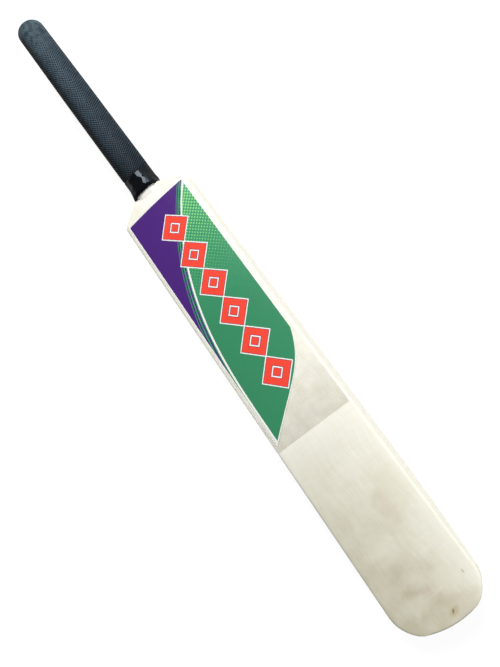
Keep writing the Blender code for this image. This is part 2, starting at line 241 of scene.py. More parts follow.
sanded_willow, willow_output = new_material("sanded_willow")
tree = sanded_willow.node_tree
place = node(tree, "TexCoord").outputs["Object"]
waver = node(tree, "TexNoise", {"Vector": place, "Scale": 1 / WAVER_LENGTH, "Detail": 1.0})
waver = node(tree, "MapRange", {"Value": waver, "To Min": -WAVER, "To Max": WAVER})
wavered = node(tree, "VectorMath", {0: place, 1: node(tree, "CombineXYZ", {"X": waver})}, operation="ADD")
fibre_space = node(tree, "Mapping", {
    "Vector": wavered, "Scale": (1 / FIBRE_WIDTH, 1 / FIBRE_LENGTH, 1 / FIBRE_WIDTH)})
fibres = node(tree, "TexNoise", {"Vector": fibre_space, "Scale": 1.0, "Detail": 4.0, "Roughness": 0.65})
streak_space = node(tree, "Mapping", {
    "Vector": wavered, "Scale": (1 / STREAK_WIDTH, 1 / STREAK_LENGTH, 1 / STREAK_WIDTH)})
streaks = node(tree, "TexNoise", {"Vector": streak_space, "Scale": 1.0, "Detail": 2.0})
blotches = node(tree, "TexNoise", {"Vector": place, "Scale": 1 / BLOTCH, "Detail": 4.0, "Roughness": 0.6})
clouds = node(tree, "TexNoise", {"Vector": wavered, "Scale": 1 / CLOUD, "Detail": 3.0})
grain = node(tree, "Math", {0: fibres, 1: FIBRE_SHARE, 2: GRAIN_OFFSET}, operation="MULTIPLY_ADD")
grain = node(tree, "Math", {0: streaks, 1: STREAK_SHARE, 2: grain}, operation="MULTIPLY_ADD")
curl_space = node(tree, "Mapping", {
    "Vector": wavered, "Rotation": (0, 0, math.radians(CURL_TURN)),
    "Scale": (1 / CURL_WIDTH, 1 / CURL_LENGTH, 1 / CURL_WIDTH)})
curl = node(tree, "TexNoise", {"Vector": curl_space, "Scale": 1.0, "Detail": 3.0})
grain = node(tree, "Math", {0: curl, 1: CURL_SHARE, 2: grain}, operation="MULTIPLY_ADD")
depth_of_tone = node(tree, "MapRange", {"Value": grain, "From Min": GRAIN_PALE, "From Max": GRAIN_DEEP})
wood = node(tree, "Mix", {"Factor": depth_of_tone, "A": linear(WILLOW_PALE), "B": linear(WILLOW_DEEP)},
            data_type="RGBA")

# Handling has greyed the bare face, most at the toe. Towards its left side the grey is painted shade, for
# the light that falls from the right. Film keeps the rest clean. The grey is uneven: each pattern has its
# own range, and the least and most that it lets through.
WILLOW_HANDLED_AND_SHADED = "C9C4AB"
HANDLED_FROM, HANDLED_FULL, HANDLED_RISE = 132 * MM, 8 * MM, 0.60
LEFT_SHADE_FROM, LEFT_SHADE_FULL, LIT_RIGHT_SHARE = 32 * MM, -14 * MM, 0.34
EVERYWHERE = 0.04
UNEVEN = (
    (blotches, 0.30, 0.68, 0.78, 1.12),
    (clouds, 0.30, 0.70, 0.88, 1.10),
    (fibres, 0.30, 0.70, 0.91, 1.09),
)

axes = node(tree, "SeparateXYZ", {0: place})
handled_and_shaded = node(tree, "MapRange", {
    "Value": axes.outputs["Y"], "From Min": TOE_Y + HANDLED_FROM, "From Max": TOE_Y + HANDLED_FULL})
handled_and_shaded = node(tree, "Math", {0: handled_and_shaded, 1: HANDLED_RISE}, operation="POWER")
handled_and_shaded = node(tree, "MapRange", {"Value": handled_and_shaded, "To Min": EVERYWHERE})
# Painted shade: the grey grows towards the left side, away from the light.
painted_shade_to_left = node(tree, "MapRange", {
    "Value": axes.outputs["X"], "From Min": LEFT_SHADE_FROM, "From Max": LEFT_SHADE_FULL, "To Min": LIT_RIGHT_SHARE},
    interpolation_type="SMOOTHSTEP")
handled_and_shaded = node(tree, "Math", {0: handled_and_shaded, 1: painted_shade_to_left}, operation="MULTIPLY")
for pattern, low, high, least, most in UNEVEN:
    let_through = node(tree, "MapRange", {
        "Value": pattern, "From Min": low, "From Max": high, "To Min": least, "To Max": most})
    handled_and_shaded = node(tree, "Math", {0: handled_and_shaded, 1: let_through}, operation="MULTIPLY")
wood = node(tree, "Mix", {"Factor": handled_and_shaded, "A": wood, "B": linear(WILLOW_HANDLED_AND_SHADED)}, data_type="RGBA")

# Stains, cleaner patches, a small dark knot and scratches, each a soft oval with a ragged rim:
# (x, distance from the toe, half width and half length in mm, turn, colour, strength, raggedness).
FULL_WITHIN, RAGGED_SIZE = 0.2, 8 * MM
MARKS = (
    (7.3, 76.0, 8.0, 11.0, -10, "C6B6A0", 0.24, 1.3),
    (9.0, 66.0, 8.0, 9.0, 15, "C2B09C", 0.26, 1.3),
    (5.0, 35.0, 11.0, 8.0, 10, "C6B4A4", 0.20, 1.4),
    (-1.6, 22.5, 8.0, 5.5, 20, "BFAC98", 0.36, 1.3),
    (3.5, 14.5, 12.0, 6.0, -12, "C0AF98", 0.24, 1.4),
    (9.0, 8.0, 21.0, 11.0, 0, "BDB498", 0.36, 1.2),
    (-11.0, 37.0, 9.0, 8.0, 0, "B5B29C", 0.24, 1.3),
    (-11.0, 25.5, 9.5, 6.5, 25, "BDA98A", 0.32, 1.4),
    (-6.0, 27.0, 9.0, 6.0, 25, "ABA28C", 0.26, 1.3),
    (-20.0, 75.0, 7.0, 16.0, 0, "C6C0A4", 0.20, 1.2),
    (-8.0, 55.0, 17.0, 14.0, 0, "F4F1E3", 0.36, 1.2),
    (-12.5, 18.5, 14.0, 8.5, 10, "F2F0E4", 0.32, 1.2),
    (-2.0, 29.5, 10.0, 7.0, 10, "F2F0E4", 0.26, 1.2),
    (19.0, 80.0, 20.0, 25.0, 0, "C4BC92", 0.20, 1.0),
    (5.2, 6.4, 4.8, 3.0, 20, "B39F6C", 0.48, 0.9),
    (4.8, 6.9, 0.7, 2.2, -33, "6B5A30", 0.80, 0.1),
    (22.6, 21.5, 0.8, 2.6, 0, "6B6243", 0.85, 0.1),
    (26.0, 87.0, 0.5, 1.4, 20, "9A9378", 0.55, 0.2),
    (1.0, 19.0, 14.0, 0.9, 7, "F2EBDD", 0.17, 0.5),
    (-3.0, 21.0, 8.0, 1.0, -3, "EFE6DC", 0.18, 0.5),
    (12.0, 47.0, 0.4, 7.0, 24, "F2EDDD", 0.35, 0.1),
)
warp = node(tree, "TexNoise", {"Vector": place, "Scale": 1 / RAGGED_SIZE, "Detail": 4.0, "Roughness": 0.6})
warp = node(tree, "VectorMath", {0: warp.outputs["Color"], 1: (0.5, 0.5, 0.5)}, operation="SUBTRACT")
for x, from_toe, half_width, half_length, turn, colour, strength, ragged in MARKS:
    centre = (x * MM, TOE_Y + from_toe * MM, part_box("blade")[1].z)
    spread = node(tree, "Mapping", {
        "Vector": place, "Location": centre, "Rotation": (0, 0, math.radians(turn)),
        "Scale": (half_width * MM, half_length * MM, 2 * half_width * MM)}, vector_type="TEXTURE")
    shaken = node(tree, "VectorMath", {0: warp, "Scale": ragged}, operation="SCALE")
    spread = node(tree, "VectorMath", {0: spread, 1: shaken}, operation="ADD")
    distance = node(tree, "VectorMath", {0: spread}, operation="LENGTH").outputs["Value"]
    stain = node(tree, "MapRange", {
        "Value": distance, "From Min": 1.0, "From Max": FULL_WITHIN, "To Max": strength},
        interpolation_type="SMOOTHSTEP")
    wood = node(tree, "Mix", {"Factor": stain, "A": wood, "B": linear(colour)}, data_type="RGBA")

# The flat edges are cleaner than the face. The strip of face along the right one is painted lighter, for the
# light from the right.
EDGE_FROM, EDGE_FULL, EDGE_CLEAN = 29.96 * MM, 29.995 * MM, 0.95
STRIP_FROM, STRIP_FULL, STRIP_LIGHT = 19 * MM, 29 * MM, 0.36

off_middle = node(tree, "Math", {0: axes.outputs["X"]}, operation="ABSOLUTE")
at_edge = node(tree, "MapRange", {
    "Value": off_middle, "From Min": EDGE_FROM, "From Max": EDGE_FULL, "To Max": EDGE_CLEAN})
# Painted light along the right strip of the face.
painted_light_strip = node(tree, "MapRange", {
    "Value": axes.outputs["X"], "From Min": STRIP_FROM, "From Max": STRIP_FULL, "To Max": STRIP_LIGHT},
    interpolation_type="SMOOTHSTEP")
clean_edge_and_lit_strip = node(tree, "Math", {0: at_edge, 1: painted_light_strip}, operation="MAXIMUM")
wood = node(tree, "Mix", {"Factor": clean_edge_and_lit_strip, "A": wood, "B": linear(WILLOW_EDGE)}, data_type="RGBA")

relief = node(tree, "Bump", {"Height": grain, "Strength": 0.35, "Distance": 0.05 * MM})
dullness = node(tree, "MapRange", {"Value": fibres, "To Min": SMOOTHEST, "To Max": ROUGHEST})
willow = node(tree, "BsdfPrincipled", {
    "Base Color": wood, "Roughness": dullness, "IOR": 1.45, "Specular IOR Level": 0.35, "Normal": relief})
tree.links.new(willow.outputs[0], willow_output.inputs["Surface"])

blade = joined_copy("willow_blade", "blade", sanded_willow, sharp=BLADE_ARRIS_TURN)

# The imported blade's triangles fold over each other in two small patches of the toe's front, where its
# flat part runs out into the corners. The patches are cut out here and closed with plain faces.
FOLDED_FROM, FOLDED_TO, FOLDED_LOW, FOLDED_DEPTH = 9.9 * MM, 15.3 * MM, 22.5 * MM, 0.1 * MM

toe_mesh = bmesh.new()
toe_mesh.from_mesh(blade.data)
folded = [
    vert for vert in toe_mesh.verts
    if FOLDED_FROM < abs(vert.co.x) < FOLDED_TO and vert.co.z > FOLDED_LOW
    and vert.co.y - TOE_Y - toe_line(vert.co.x, SAWN_ARC, SAWN_CORNER) < FOLDED_DEPTH]
bmesh.ops.delete(toe_mesh, geom=folded, context="VERTS")
rims = [edge for edge in toe_mesh.edges if edge.is_boundary]
plain = bmesh.ops.holes_fill(toe_mesh, edges=rims, sides=0)["faces"]
plain = bmesh.ops.triangulate(toe_mesh, faces=plain)["faces"]
for face in plain:
    face.smooth = True
for edge in rims:
    edge.smooth = True
bmesh.ops.recalc_face_normals(toe_mesh, faces=toe_mesh.faces)

for vert in toe_mesh.verts:
    from_toe = vert.co.y - TOE_Y
    if from_toe < SANDED_REACH:
        rounder = toe_line(vert.co.x, SANDED_ARC, SANDED_CORNER) - toe_line(vert.co.x, SAWN_ARC, SAWN_CORNER)
        vert.co.y += (SANDED_OFF + rounder) * (1 - from_toe / SANDED_REACH)
toe_mesh.to_mesh(blade.data)
toe_mesh.free()
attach(blade, "root")
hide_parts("blade")


# Cane handle
# Three slips of pale cane, planed flat and glued side by side, then turned round above the shoulder
# and sawn to a V below it. The V is glued into the blade, flush with its face and back.

# Manau cane is straw coloured, and its hollow fibre bundles show as dark dashes, or as dots on an end.
CANE_PALE, CANE_DEEP, CANE_PORE = "FDFCF8", "F8F5EB", "E0D6BA"
BUNDLE_SPACING, BUNDLE_LENGTH = 0.9 * MM, 30 * MM
PORE_RIM, PORE_HEART, PORE_SHARE = 0.28, 0.12, 0.35

planed_cane, cane_output = new_material("planed_cane")
tree = planed_cane.node_tree
place = node(tree, "TexCoord").outputs["Object"]
bundle_space = node(tree, "Mapping", {
    "Vector": place, "Scale": (1 / BUNDLE_SPACING, 1 / BUNDLE_LENGTH, 1 / BUNDLE_SPACING)})
bundles = node(tree, "TexVoronoi", {"Vector": bundle_space, "Scale": 1.0})
pores = node(tree, "MapRange", {
    "Value": bundles, "From Min": PORE_RIM, "From Max": PORE_HEART, "To Max": PORE_SHARE},
    interpolation_type="SMOOTHSTEP")
streaks = node(tree, "TexNoise", {"Vector": bundle_space, "Scale": 0.6, "Detail": 3.0})
cane = node(tree, "Mix", {"Factor": streaks, "A": linear(CANE_PALE), "B": linear(CANE_DEEP)},
            data_type="RGBA")
cane = node(tree, "Mix", {"Factor": pores, "A": cane, "B": linear(CANE_PORE)}, data_type="RGBA")
relief = node(tree, "Bump", {"Height": bundles, "Strength": 0.3, "Distance": 0.05 * MM})
cane_surface = node(tree, "BsdfPrincipled", {
    "Base Color": cane, "Roughness": 0.55, "IOR": 1.45, "Specular IOR Level": 0.35, "Normal": relief})
tree.links.new(cane_surface.outputs[0], cane_output.inputs["Surface"])

slips = {}
for side in ("left", "middle", "right"):
    slip = slips[side] = joined_copy(f"planed_slip_{side}", f"cane_slip_{side}", planed_cane)
    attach(slip, "root")
    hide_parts(f"cane_slip_{side}")


# Glue line of the splice
# A thin bead of clear glue, sanded flush, fills the saw cut on both sides of the V.
# It is drawn as one wedge just under the surfaces, which shows only between the cane and the willow,
# and as two beads in the joints of the slips, where these ramp up from the face to the round handle.

SPLICE_LENGTH = 78 * MM
SPLICE_TOP_HALF, SPLICE_TIP_HALF = 10 * MM, 1.5 * MM
SAW_CUT, CUT_FILLED = 0.3 * MM, 0.9
GLUE_SUNK, GLUE_SHORT = 0.08 * MM, 0.8 * MM
GLUE_STEPS, BEAD_STEPS = 26, 14
GLUE_AMBER, GLUE_CLOUD = "EFE9D6", 3 * MM
FAR_OFF = 100 * MM
JOINT_MIDDLE, JOINT_HALF = 2.95 * MM, 0.13 * MM
RAMP_LENGTH, JOINT_PAST_SHOULDER = 10 * MM, 0.6 * MM
BEAD_DEPTH, BEAD_SUNK = 2 * MM, 0.05 * MM

wood_glue, glue_output = new_material("dried_wood_glue")
tree = wood_glue.node_tree
place = node(tree, "TexCoord").outputs["Object"]
shade = node(tree, "TexNoise", {"Vector": place, "Scale": 1 / GLUE_CLOUD})
glue_colour = node(tree, "Mix", {"Factor": shade, "A": linear(GLUE_AMBER), "B": linear(WILLOW_PALE)},
                   data_type="RGBA")
glue_surface = node(tree, "BsdfPrincipled", {"Base Color": glue_colour, "Roughness": 0.35})
tree.links.new(glue_surface.outputs[0], glue_output.inputs["Surface"])

shoulder_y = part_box("blade")[1].y
blade_tree = BVHTree.FromObject(blade, bpy.context.evaluated_depsgraph_get())


def blade_surface(x, y, downwards):
    """Height of the blade's face or back at a point."""
    start = Vector((x, y, FAR_OFF if downwards else -FAR_OFF))
    return blade_tree.ray_cast(start, Vector((0, 0, -1 if downwards else 1)))[0].z


glue_mesh = bmesh.new()
bmesh.ops.create_grid(glue_mesh, x_segments=2, y_segments=GLUE_STEPS, size=0.5)
for vert in glue_mesh.verts:
    run = vert.co.y + 0.5
    half = SPLICE_TIP_HALF + (SPLICE_TOP_HALF - SPLICE_TIP_HALF) * run + CUT_FILLED * SAW_CUT
    y = shoulder_y - (SPLICE_LENGTH + SAW_CUT) * (1 - run) - GLUE_SHORT * run
    vert.co = Vector((2 * vert.co.x * half, y, 0))
bottom_faces = glue_mesh.faces[:]
raised = bmesh.ops.extrude_face_region(glue_mesh, geom=bottom_faces)
top_verts = [item for item in raised["geom"] if isinstance(item, bmesh.types.BMVert)]
for vert in glue_mesh.verts:
    beside = SPLICE_TOP_HALF + 3 * SAW_CUT
    if vert.co.x:
        beside = vert.co.x + math.copysign(SAW_CUT, vert.co.x)
    height = blade_surface(beside, vert.co.y, vert in top_verts)
    vert.co.z = height + (-GLUE_SUNK if vert in top_verts else GLUE_SUNK)

slip_tree = BVHTree.FromObject(slips["middle"], bpy.context.evaluated_depsgraph_get())
for side in (-1, 1):
    bead = bmesh.ops.create_grid(glue_mesh, x_segments=1, y_segments=BEAD_STEPS, size=0.5)["verts"]
    for vert in bead:
        y = shoulder_y + JOINT_PAST_SHOULDER - (RAMP_LENGTH + JOINT_PAST_SHOULDER) * (0.5 - vert.co.y)
        over_slip = Vector((side * (JOINT_MIDDLE - 2 * JOINT_HALF), y, FAR_OFF))
        top = slip_tree.ray_cast(over_slip, Vector((0, 0, -1)))[0].z
        x = side * JOINT_MIDDLE + 2 * vert.co.x * JOINT_HALF
        vert.co = Vector((x, y, top - BEAD_SUNK - BEAD_DEPTH))
    bead_faces = list({face for vert in bead for face in vert.link_faces})
    raised = bmesh.ops.extrude_face_region(glue_mesh, geom=bead_faces)
    bead_top = [item for item in raised["geom"] if isinstance(item, bmesh.types.BMVert)]
    bmesh.ops.translate(glue_mesh, verts=bead_top, vec=(0, 0, BEAD_DEPTH))
bmesh.ops.recalc_face_normals(glue_mesh, faces=glue_mesh.faces)
glue = link_piece("splice_glue", glue_mesh, wood_glue, smooth=False)
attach(glue, "root")


# Rubber springs
# Two strips of thin black sheet rubber, glued between the slips so that the handle gives a little.
# They run from just above the shoulder to the handle's end, where they show as two dark lines.

SHEET_BLACK, SHEET_WORN, BLOOM = "1B1B1B", "2A2927", 1.5 * MM

sheet_rubber, sheet_output = new_material("calendered_sheet_rubber")
tree = sheet_rubber.node_tree
bloom = node(tree, "TexNoise", {
    "Vector": node(tree, "TexCoord").outputs["Object"], "Scale": 1 / BLOOM, "Detail": 3.0})
black = node(tree, "Mix", {"Factor": bloom, "A": linear(SHEET_BLACK), "B": linear(SHEET_WORN)},
             data_type="RGBA")
sheet_surface = node(tree, "BsdfPrincipled", {"Base Color": black, "Roughness": 0.75})
tree.links.new(sheet_surface.outputs[0], sheet_output.inputs["Surface"])

for side in ("left", "right"):
    spring = joined_copy(f"sheet_rubber_{side}", f"rubber_spring_{side}", sheet_rubber)
    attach(spring, "root")
    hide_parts(f"rubber_spring_{side}")


# Twine whipping
# Waxed linen thread, half a millimetre thick, wound turn against turn round the cane from the root
# nearly to the end. It holds the slips together and gives the rubber grip something to bite on.

HANDLE_LENGTH = 182 * MM
HANDLE_RADIUS, HANDLE_END_RADIUS = 9.3 * MM, 9.0 * MM
HANDLE_TAPER = 80 * MM
ROOT_HALF_WIDTH, ROOT_HALF_DEPTH = 10.45 * MM, 9.6 * MM
ROOT_SQUARENESS = 3.4
ROOT_FLARE = 12 * MM
HANDLE_LEAN = math.radians(4.0)
AXIS_Z = 19.5 * MM

THREAD = 0.5 * MM
THREAD_POINTS, POINTS_A_TURN = 4, 24
TWINE_LOW, TWINE_HIGH = 1.6 * MM, 170 * MM
AIR = 0.3 * MM


def eased(t):
    """Smooth 0 to 1, level at both ends."""
    t = min(1.0, max(0.0, t))
    return t * t * (3 - 2 * t)


def on_handle(turn, height, stand_off):
    """A point round the handle, at a height past the shoulder and a distance out from the cane.

    A turn of 0 is at the back, 0.5 is at the front and 1 is at the back again. The root is squarer
    and wider than the plain round handle, whose axis leans forward of the face.
    """
    rounded = eased(height / ROOT_FLARE)
    taper = eased((height - HANDLE_LENGTH + HANDLE_TAPER) / HANDLE_TAPER)
    radius = HANDLE_RADIUS + (HANDLE_END_RADIUS - HANDLE_RADIUS) * taper
    wide = ROOT_HALF_WIDTH + (radius - ROOT_HALF_WIDTH) * rounded + stand_off
    deep = ROOT_HALF_DEPTH + (radius - ROOT_HALF_DEPTH) * rounded + stand_off
    power = 2 / (ROOT_SQUARENESS + (2 - ROOT_SQUARENESS) * rounded)
    across, up = math.sin(math.tau * turn), -math.cos(math.tau * turn)
    x = wide * math.copysign(abs(across) ** power, across)
    z = deep * math.copysign(abs(up) ** power, up)
    return Vector((x, shoulder_y + height, AXIS_Z + height * math.tan(HANDLE_LEAN) + z))


# Linen is a dull grey-brown. Wax holds the fibres down, so the thread has a weak sheen along it.
LINEN_PALE, LINEN_DEEP, PLY = "CDBF9E", "A08E6A", 0.6 * MM

linen_thread, linen_output = new_material("waxed_linen_thread")
tree = linen_thread.node_tree
place = node(tree, "TexCoord").outputs["Object"]
ply = node(tree, "TexNoise", {"Vector": place, "Scale": 1 / PLY, "Detail": 2.0})
flax = node(tree, "Mix", {"Factor": ply, "A": linear(LINEN_PALE), "B": linear(LINEN_DEEP)},
            data_type="RGBA")
relief = node(tree, "Bump", {"Height": ply, "Strength": 0.4, "Distance": 0.05 * MM})
linen_surface = node(tree, "BsdfPrincipled", {
    "Base Color": flax, "Roughness": 0.7, "Sheen Weight": 0.2, "Normal": relief})
tree.links.new(linen_surface.outputs[0], linen_output.inputs["Surface"])


def flat_sheet(columns, rows):
    """A grid whose X runs 0 to 1, once round the handle, and whose Y counts rows."""
    sheet = bmesh.new()
    bmesh.ops.create_grid(sheet, x_segments=columns, y_segments=rows, size=0.5)
    for vert in sheet.verts:
        vert.co = Vector((vert.co.x + 0.5, (vert.co.y + 0.5) * rows, 0))
    return sheet


def roll_up(sheet, place_of):
    """Rolls a flat sheet round the handle and closes its seam, and its two ends if they meet."""
    for vert in sheet.verts:
        vert.co = place_of(vert.co.x, vert.co.y)
    bmesh.ops.remove_doubles(sheet, verts=sheet.verts, dist=JOIN_WITHIN)
    bmesh.ops.recalc_face_normals(sheet, faces=sheet.faces)


turns = int((TWINE_HIGH - TWINE_LOW) / THREAD)


def thread_place(around_thread, step):
    """A point of the thread: round its own section, and so many steps along its winding."""
    out, along = math.cos(math.tau * around_thread), math.sin(math.tau * around_thread)
    turn = step / POINTS_A_TURN
    height = TWINE_LOW + (turn + 0.5 * along) * THREAD
    return on_handle(turn % 1.0, height, AIR + (0.5 + 0.5 * out) * THREAD)


thread_mesh = flat_sheet(THREAD_POINTS, turns * POINTS_A_TURN)
roll_up(thread_mesh, thread_place)
thread_ends = [edge for edge in thread_mesh.edges if edge.is_boundary]
bmesh.ops.holes_fill(thread_mesh, edges=thread_ends, sides=THREAD_POINTS)
thread = link_piece("wound_thread", thread_mesh, linen_thread)
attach(thread, "root")
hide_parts("twine_whipping")


# Rubber grip
# A moulded black rubber sleeve, rolled down over the whipped handle and turned in over its end.
# Two sets of fine ridges cross on it and leave small diamond pits; its end is smooth. The diamonds
# are drawn a little coarser than the real ones, 2 mm long, so that they show.

GRIP_LOW, GRIP_END = 9 * MM, HANDLE_LENGTH
GRIP_BORE = THREAD + 2 * AIR
GRIP_WALL, GRIP_SQUEEZED = 1.2 * MM, 0.60 * MM
SWELL_RUN = 2.0 * MM
END_ROUNDING, END_WALL = 2.9 * MM, 1.3 * MM
MOUTH_RADIUS = 6.0 * MM
LIP_RADII = (8.4 * MM, 7.2 * MM, 6.4 * MM)
MOUTH_ROUNDING = ((0.10 * MM, 0.12 * MM), (0.35 * MM, 0.0))
INNER_CORNER = 2.4 * MM
DIAMONDS_ROUND, DIAMOND = 34, 2.0 * MM
RIDGE_HALF, PIT_SLOPE, PIT_DEPTH = 0.19 * MM, 0.13 * MM, 0.30 * MM
SMOOTH_LIP, UNDER_TAPE = 6.0 * MM, 1.0 * MM
LOW_ROWS, BEND_ROWS = 8, 8
BORE_ROWS = (0.8, 0.6, 0.4, 0.2, 0.1, 0.06)

# The tape's upper edge dips at the front, where it was pulled down towards the blade.
TAPE_FRONT, TAPE_SIDES = 15.4 * MM, 21.0 * MM


def tape_top(turn):
    """Height of the tape's upper edge round the handle."""
    front = max(0.0, -math.cos(math.tau * turn))
    return TAPE_SIDES + (TAPE_FRONT - TAPE_SIDES) * eased(front)


def grip_outside(turn, height):
    """Stand-off of the grip's outer face, which the tape squeezes thin."""
    swell = eased((height - tape_top(turn)) / SWELL_RUN)
    return GRIP_BORE + GRIP_SQUEEZED + (GRIP_WALL - GRIP_SQUEEZED) * swell


# Each row of the sleeve is (height, stand-off or None for the squeezed and swelled outer face).
pattern_low = TAPE_FRONT - UNDER_TAPE
pattern_rows = int((GRIP_END - SMOOTH_LIP - pattern_low) / DIAMOND)
bend = GRIP_END - END_ROUNDING
outer = GRIP_BORE + GRIP_WALL
mouth = MOUTH_RADIUS - HANDLE_END_RADIUS
inside_end = GRIP_END - END_WALL
grip_rows = [(GRIP_LOW, None)]
grip_rows += [(GRIP_LOW + (pattern_low - GRIP_LOW) * i / LOW_ROWS, None) for i in range(1, LOW_ROWS)]
first_pattern_row = len(grip_rows)
grip_rows += [(pattern_low + DIAMOND * i, None) for i in range(pattern_rows + 1)]
last_pattern_row = len(grip_rows) - 1
for i in range(BEND_ROWS + 1):
    arc = math.pi / 2 * i / BEND_ROWS
    grip_rows.append((bend + END_ROUNDING * math.sin(arc), outer - END_ROUNDING * (1 - math.cos(arc))))
grip_rows += [(GRIP_END, radius - HANDLE_END_RADIUS) for radius in LIP_RADII]
grip_rows += [(GRIP_END - down, mouth + out) for down, out in MOUTH_ROUNDING]
grip_rows += [(inside_end, mouth), (inside_end, GRIP_BORE - INNER_CORNER)]
grip_rows.append((inside_end - INNER_CORNER, GRIP_BORE))
grip_rows += [(HANDLE_LENGTH * share, GRIP_BORE) for share in BORE_ROWS]
grip_rows += [(GRIP_LOW, GRIP_BORE), (GRIP_LOW, None)]


def grip_place(turn, row):
    """A point of the sleeve, between two of its rows where a diamond's middle lies."""
    lower = grip_rows[int(row)]
    upper = grip_rows[min(len(grip_rows) - 1, int(row) + 1)]
    share = row - int(row)
    height = lower[0] + (upper[0] - lower[0]) * share
    stand_off = lower[1] if lower[1] is not None else grip_outside(turn, height)
    return on_handle(turn, height, stand_off)


grip_mesh = flat_sheet(DIAMONDS_ROUND, len(grip_rows) - 1)
patterned = [f for f in grip_mesh.faces
             if first_pattern_row < f.calc_center_median().y < last_pattern_row]
middles = set(bmesh.ops.poke(grip_mesh, faces=patterned)["verts"])
roll_up(grip_mesh, grip_place)
straight = [e for e in grip_mesh.edges
            if len(e.link_faces) == 2 and not middles & set(e.verts)
            and all(middles & set(f.verts) for f in e.link_faces)]
bmesh.ops.dissolve_edges(grip_mesh, edges=straight, use_verts=False)
diamonds = [f for f in grip_mesh.faces if len(middles & set(f.verts)) == 2]
bmesh.ops.inset_individual(grip_mesh, faces=diamonds, thickness=RIDGE_HALF, use_even_offset=True)
for face in diamonds:
    face.material_index = 1
bmesh.ops.inset_individual(grip_mesh, faces=diamonds, thickness=PIT_SLOPE, depth=-PIT_DEPTH,
                           use_even_offset=True)

# Natural rubber is a matt black, with a painted blue tint for the window's cool light. Its ridges are grey
# from the middle to the right and towards the end, partly rubbed by hands and partly painted light; the left
# side and the neck by the tape carry painted shade. Towards the end dust fills the pits too. The pits stay
# dark.
RIDGE_WORN_AND_LIT, RIDGE_NEW_AND_SHADED, PIT_WORN_AND_LIT, PIT_NEW_AND_SHADED = "5D707E", "0E1216", "171D23", "040506"
DUST_THIN, DUST_THICK = "303E46", "52646B"
NECK_WEAR_AND_LIGHT, END_WEAR_AND_LIGHT = 0.38, 0.95
NEAR_TAPE, CLEAR_OF_TAPE, TAPE_SHADE_LEAST = 10 * MM, 50 * MM, 0.60
LEFT_SHADED, LEFT_WORN_AND_LIT, LEFT_LEAST = -9.5 * MM, -1.5 * MM, 0.02
RIGHT_DARK, RIGHT_WORN_AND_LIT, RIGHT_LEAST = 11 * MM, 2 * MM, 0.68
MOTTLE, MOTTLE_LOW, MOTTLE_HIGH, MOTTLE_LEAST, MOTTLE_MOST = 9 * MM, 0.3, 0.7, 0.8, 1.2
DUST_RUN, DUST_BLOTCH, DUST_BARE, DUST_DENSE = 44 * MM, 3.5 * MM, 0.38, 0.64
MOULD_TOOTH, UNEVEN_GLOSS = 0.25 * MM, 0.06
RIDGE_ROUGHNESS, PIT_ROUGHNESS = 0.50, 0.75


